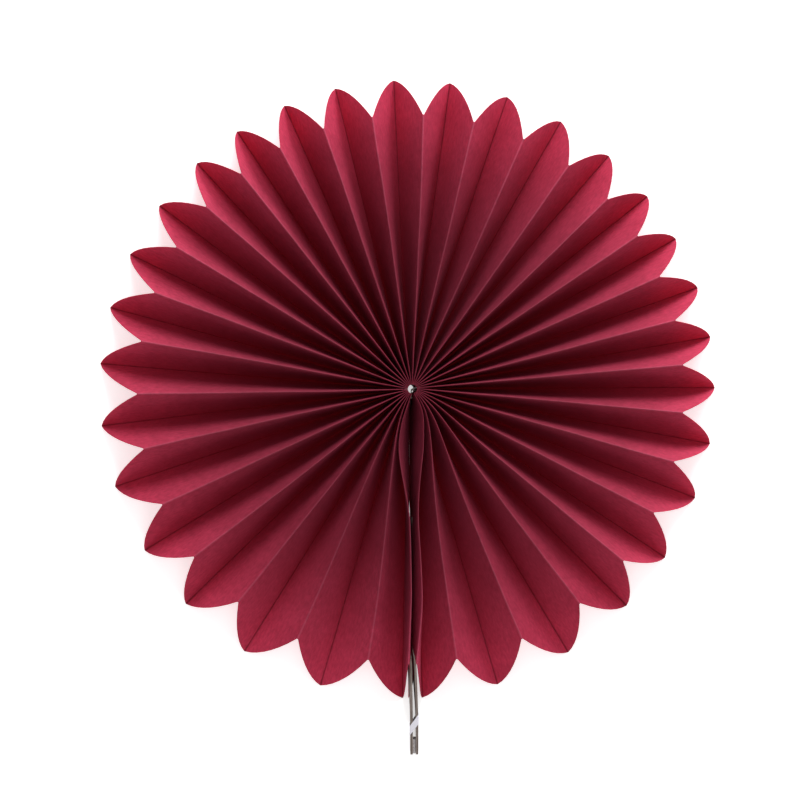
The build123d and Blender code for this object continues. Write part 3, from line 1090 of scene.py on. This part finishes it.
@dataclass
class HubThread:
    """The thread that gathers the pleats: a ring through them, a tail up the seam and a knot on top."""

    ring_radius: float = 4.2
    height: float = 10.0
    thread: float = 0.6
    knot_centre: tuple[float, float, float] = (0.25, -0.25, 16.5)
    knot_size: tuple[float, float, float] = (0.45, 0.34, 0.32)
    knot_turn: float = 40.0
    ply_radius: float = 0.27  # this and the next as shares of the thread's diameter
    ply_offset: float = 0.23
    twist_length: float = 2.2  # along the thread for one turn of its plies
    step: float = 0.16  # between the points that the plies follow
    ring_points: int = 97
    knot_points: int = 73
    tail: tuple[tuple[float, float], ...] = ((-2.2, 0.0), (-0.9, 0.6), (-0.3, 2.2))  # y, and rise

    def paths(self) -> list[list[Vector]]:
        """Sets out the thread.

        Returns:
            Its three lines in millimetres: the ring, the tail and the knot, which is a trefoil.
        """
        ring = [
            Vector((self.ring_radius * math.sin(a), -self.ring_radius * math.cos(a), self.height))
            for a in np.linspace(0.0, 2 * math.pi, self.ring_points)
        ]
        centre = Vector(self.knot_centre)
        route = ((-self.ring_radius + 0.01, 0.0),) + self.tail
        tail = [Vector((SEAM_X, y, self.height + rise)) for y, rise in route] + [centre]
        turn = math.radians(self.knot_turn)
        knot = []
        for t in np.linspace(0.0, 2 * math.pi, self.knot_points):
            x = (math.sin(t) + 2 * math.sin(2 * t)) / 3
            y = (math.cos(t) - 2 * math.cos(2 * t)) / 3
            z = -math.sin(3 * t)
            x, y, z = (c * s for c, s in zip((x, y, z), self.knot_size))
            knot.append(centre + Vector((
                x * math.cos(turn) - y * math.sin(turn), x * math.sin(turn) + y * math.cos(turn), z
            )))
        return [ring, tail, knot]

    def tree(self) -> bpy.types.NodeTree:
        """Builds the tree that lays three twisted plies along the thread's line.

        Returns:
            The tree. Its geometry input is the thread's lines as edges.
        """
        tree = new_tree("Twisted_thread", {
            "Ply Radius": "Float", "Ply Offset": "Float", "Twist": "Float", "Step": "Float",
            "Material": "Material",
        })
        given = add_node(tree, "NodeGroupInput").outputs
        curve = add_node(tree, "GeometryNodeMeshToCurve", inputs={0: given["Geometry"]}).outputs[0]
        curve = add_node(
            tree, "GeometryNodeResampleCurve", {"mode": "LENGTH"}, {"Curve": curve, "Length": given["Step"]}
        ).outputs[0]
        length = add_node(tree, "GeometryNodeSplineParameter").outputs["Length"]
        turn = add_node(
            tree, "ShaderNodeMath", {"operation": "MULTIPLY"}, {0: length, 1: given["Twist"]}
        ).outputs[0]
        normal = add_node(tree, "GeometryNodeInputNormal").outputs[0]
        tangent = add_node(tree, "GeometryNodeInputTangent").outputs[0]
        section = add_node(
            tree, "GeometryNodeCurvePrimitiveCircle", inputs={"Resolution": 7, "Radius": given["Ply Radius"]}
        ).outputs[0]
        joined = add_node(tree, "GeometryNodeJoinGeometry")
        for ply in range(3):
            start = add_node(
                tree, "ShaderNodeMath", {"operation": "ADD"}, {0: turn, 1: 2 * math.pi * ply / 3}
            ).outputs[0]
            out = add_node(
                tree, "ShaderNodeVectorRotate", {"rotation_type": "AXIS_ANGLE"},
                {"Vector": normal, "Axis": tangent, "Angle": start},
            ).outputs[0]
            out = add_node(
                tree, "ShaderNodeVectorMath", {"operation": "SCALE"}, {0: out, "Scale": given["Ply Offset"]}
            ).outputs[0]
            strand = add_node(
                tree, "GeometryNodeSetPosition", inputs={"Geometry": curve, "Offset": out}
            ).outputs[0]
            tube = add_node(
                tree, "GeometryNodeCurveToMesh",
                inputs={"Curve": strand, "Profile Curve": section, "Fill Caps": True},
            ).outputs[0]
            tree.links.new(tube, joined.inputs[0])
        end_tree(tree, joined.outputs[0], given["Material"])
        return tree

    def build(self, cotton: bpy.types.Material) -> bpy.types.Object:
        """Builds the thread.

        Args:
            cotton: its material.

        Returns:
            The finished piece.
        """
        verts, edges = [], []
        for path in self.paths():
            start = len(verts)
            verts += [point * MM for point in path]
            edges += [(start + i, start + i + 1) for i in range(len(path) - 1)]
        line = object_from("Thread_line", verts, edges=edges)
        modifier = line.modifiers.new("Plies", "NODES")
        modifier.node_group = self.tree()
        set_inputs(modifier, {
            "Ply Radius": self.thread * self.ply_radius * MM,
            "Ply Offset": self.thread * self.ply_offset * MM,
            "Twist": 2 * math.pi / (self.twist_length * MM), "Step": self.step * MM, "Material": cotton,
        })
        piece = plain_mesh(line, "Hub_thread", 70.0)
        fit_out(piece, "hub_thread")
        return piece


# ---- the studio ------------------------------------------------------------------------------------


@dataclass(frozen=True)
class SoftLight:
    """A square soft box that looks at the fan."""

    name: str
    place: tuple[float, float, float]  # metres
    size: float
    watts: float

    def build(self) -> None:
        """Hangs the light."""
        data = bpy.data.lights.new(self.name, "AREA")
        data.shape = "SQUARE"
        data.size = self.size
        data.energy = self.watts
        lamp = bpy.data.objects.new(self.name, data)
        lamp.location = self.place
        lamp.rotation_euler = (-Vector(self.place)).to_track_quat("-Z", "Y").to_euler()
        bpy.context.collection.objects.link(lamp)


LIGHTS = (
    SoftLight("Top_box", (0.0, 1.6, 0.8), 0.7, 20.0),
    SoftLight("Side_box", (0.9, 1.5, 0.4), 0.7, 27.0),
    SoftLight("Low_box", (0.0, -1.75, 0.4), 0.7, 6.0),
)
WORLD_LIGHT = 0.45
FLOOR_GLOW = 0.6


@dataclass
class Studio:
    """The floor, the lights and the camera."""

    camera_distance: float = 2.2  # metres
    camera_lean: float = 5.0  # degrees from straight down, towards -X
    target: tuple[float, float, float] = (-4.3, -5.3, 0.0)  # the middle of the picture
    view_width: float = 388.5  # mm across the picture at the floor
    sensor: float = 36.0
    floor_half: float = 6.0

    def build(self) -> None:
        """Builds the floor, the lights and the camera."""
        half = self.floor_half
        corners = [(-half, -half, 0.0), (half, -half, 0.0), (half, half, 0.0), (-half, half, 0.0)]
        floor = object_from("Floor", corners, faces=[(0, 1, 2, 3)])
        mat = bpy.data.materials.new("White_backdrop_paper")
        mat.use_nodes = True
        shader = mat.node_tree.nodes["Principled BSDF"]
        shader.inputs["Base Color"].default_value = linear("#FAFAFA")
        shader.inputs["Roughness"].default_value = 0.9
        shader.inputs["Emission Color"].default_value = (1, 1, 1, 1)
        shader.inputs["Emission Strength"].default_value = FLOOR_GLOW
        floor.data.materials.append(mat)
        for light in LIGHTS:
            light.build()
        world = bpy.data.worlds.new("Studio_white")
        world.use_nodes = True
        sky = world.node_tree.nodes["Background"]
        sky.inputs["Color"].default_value = (1, 1, 1, 1)
        sky.inputs["Strength"].default_value = WORLD_LIGHT
        bpy.context.scene.world = world
        bpy.context.scene.view_settings.view_transform = "Standard"
        data = bpy.data.cameras.new("Camera")
        data.sensor_width = self.sensor
        data.lens = self.sensor * self.camera_distance / (self.view_width * MM)
        camera = bpy.data.objects.new("Camera", data)
        lean = math.radians(self.camera_lean)
        back = Vector((-math.sin(lean), 0.0, math.cos(lean)))
        camera.location = Vector(self.target) * MM + back * self.camera_distance
        camera.rotation_euler = (0.0, -lean, 0.0)
        bpy.context.collection.objects.link(camera)
        bpy.context.scene.camera = camera


def main() -> None:
    """Builds the studio and every piece of the fan."""
    logging.basicConfig(level=logging.INFO, format="%(name)s: %(message)s")
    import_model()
    Studio().build()
    PleatedSheet().build(DyedPaper().material())
    board = GREYBOARD.material()
    for side in Side:
        BoardStrip(side).build(board)
    FoamPad().build(FOAM.material())
    TieRibbon().build(SATIN.material())
    HubThread().build(COTTON_PAINTED_SHADE.material())


if __name__ == "__main__":
    main()
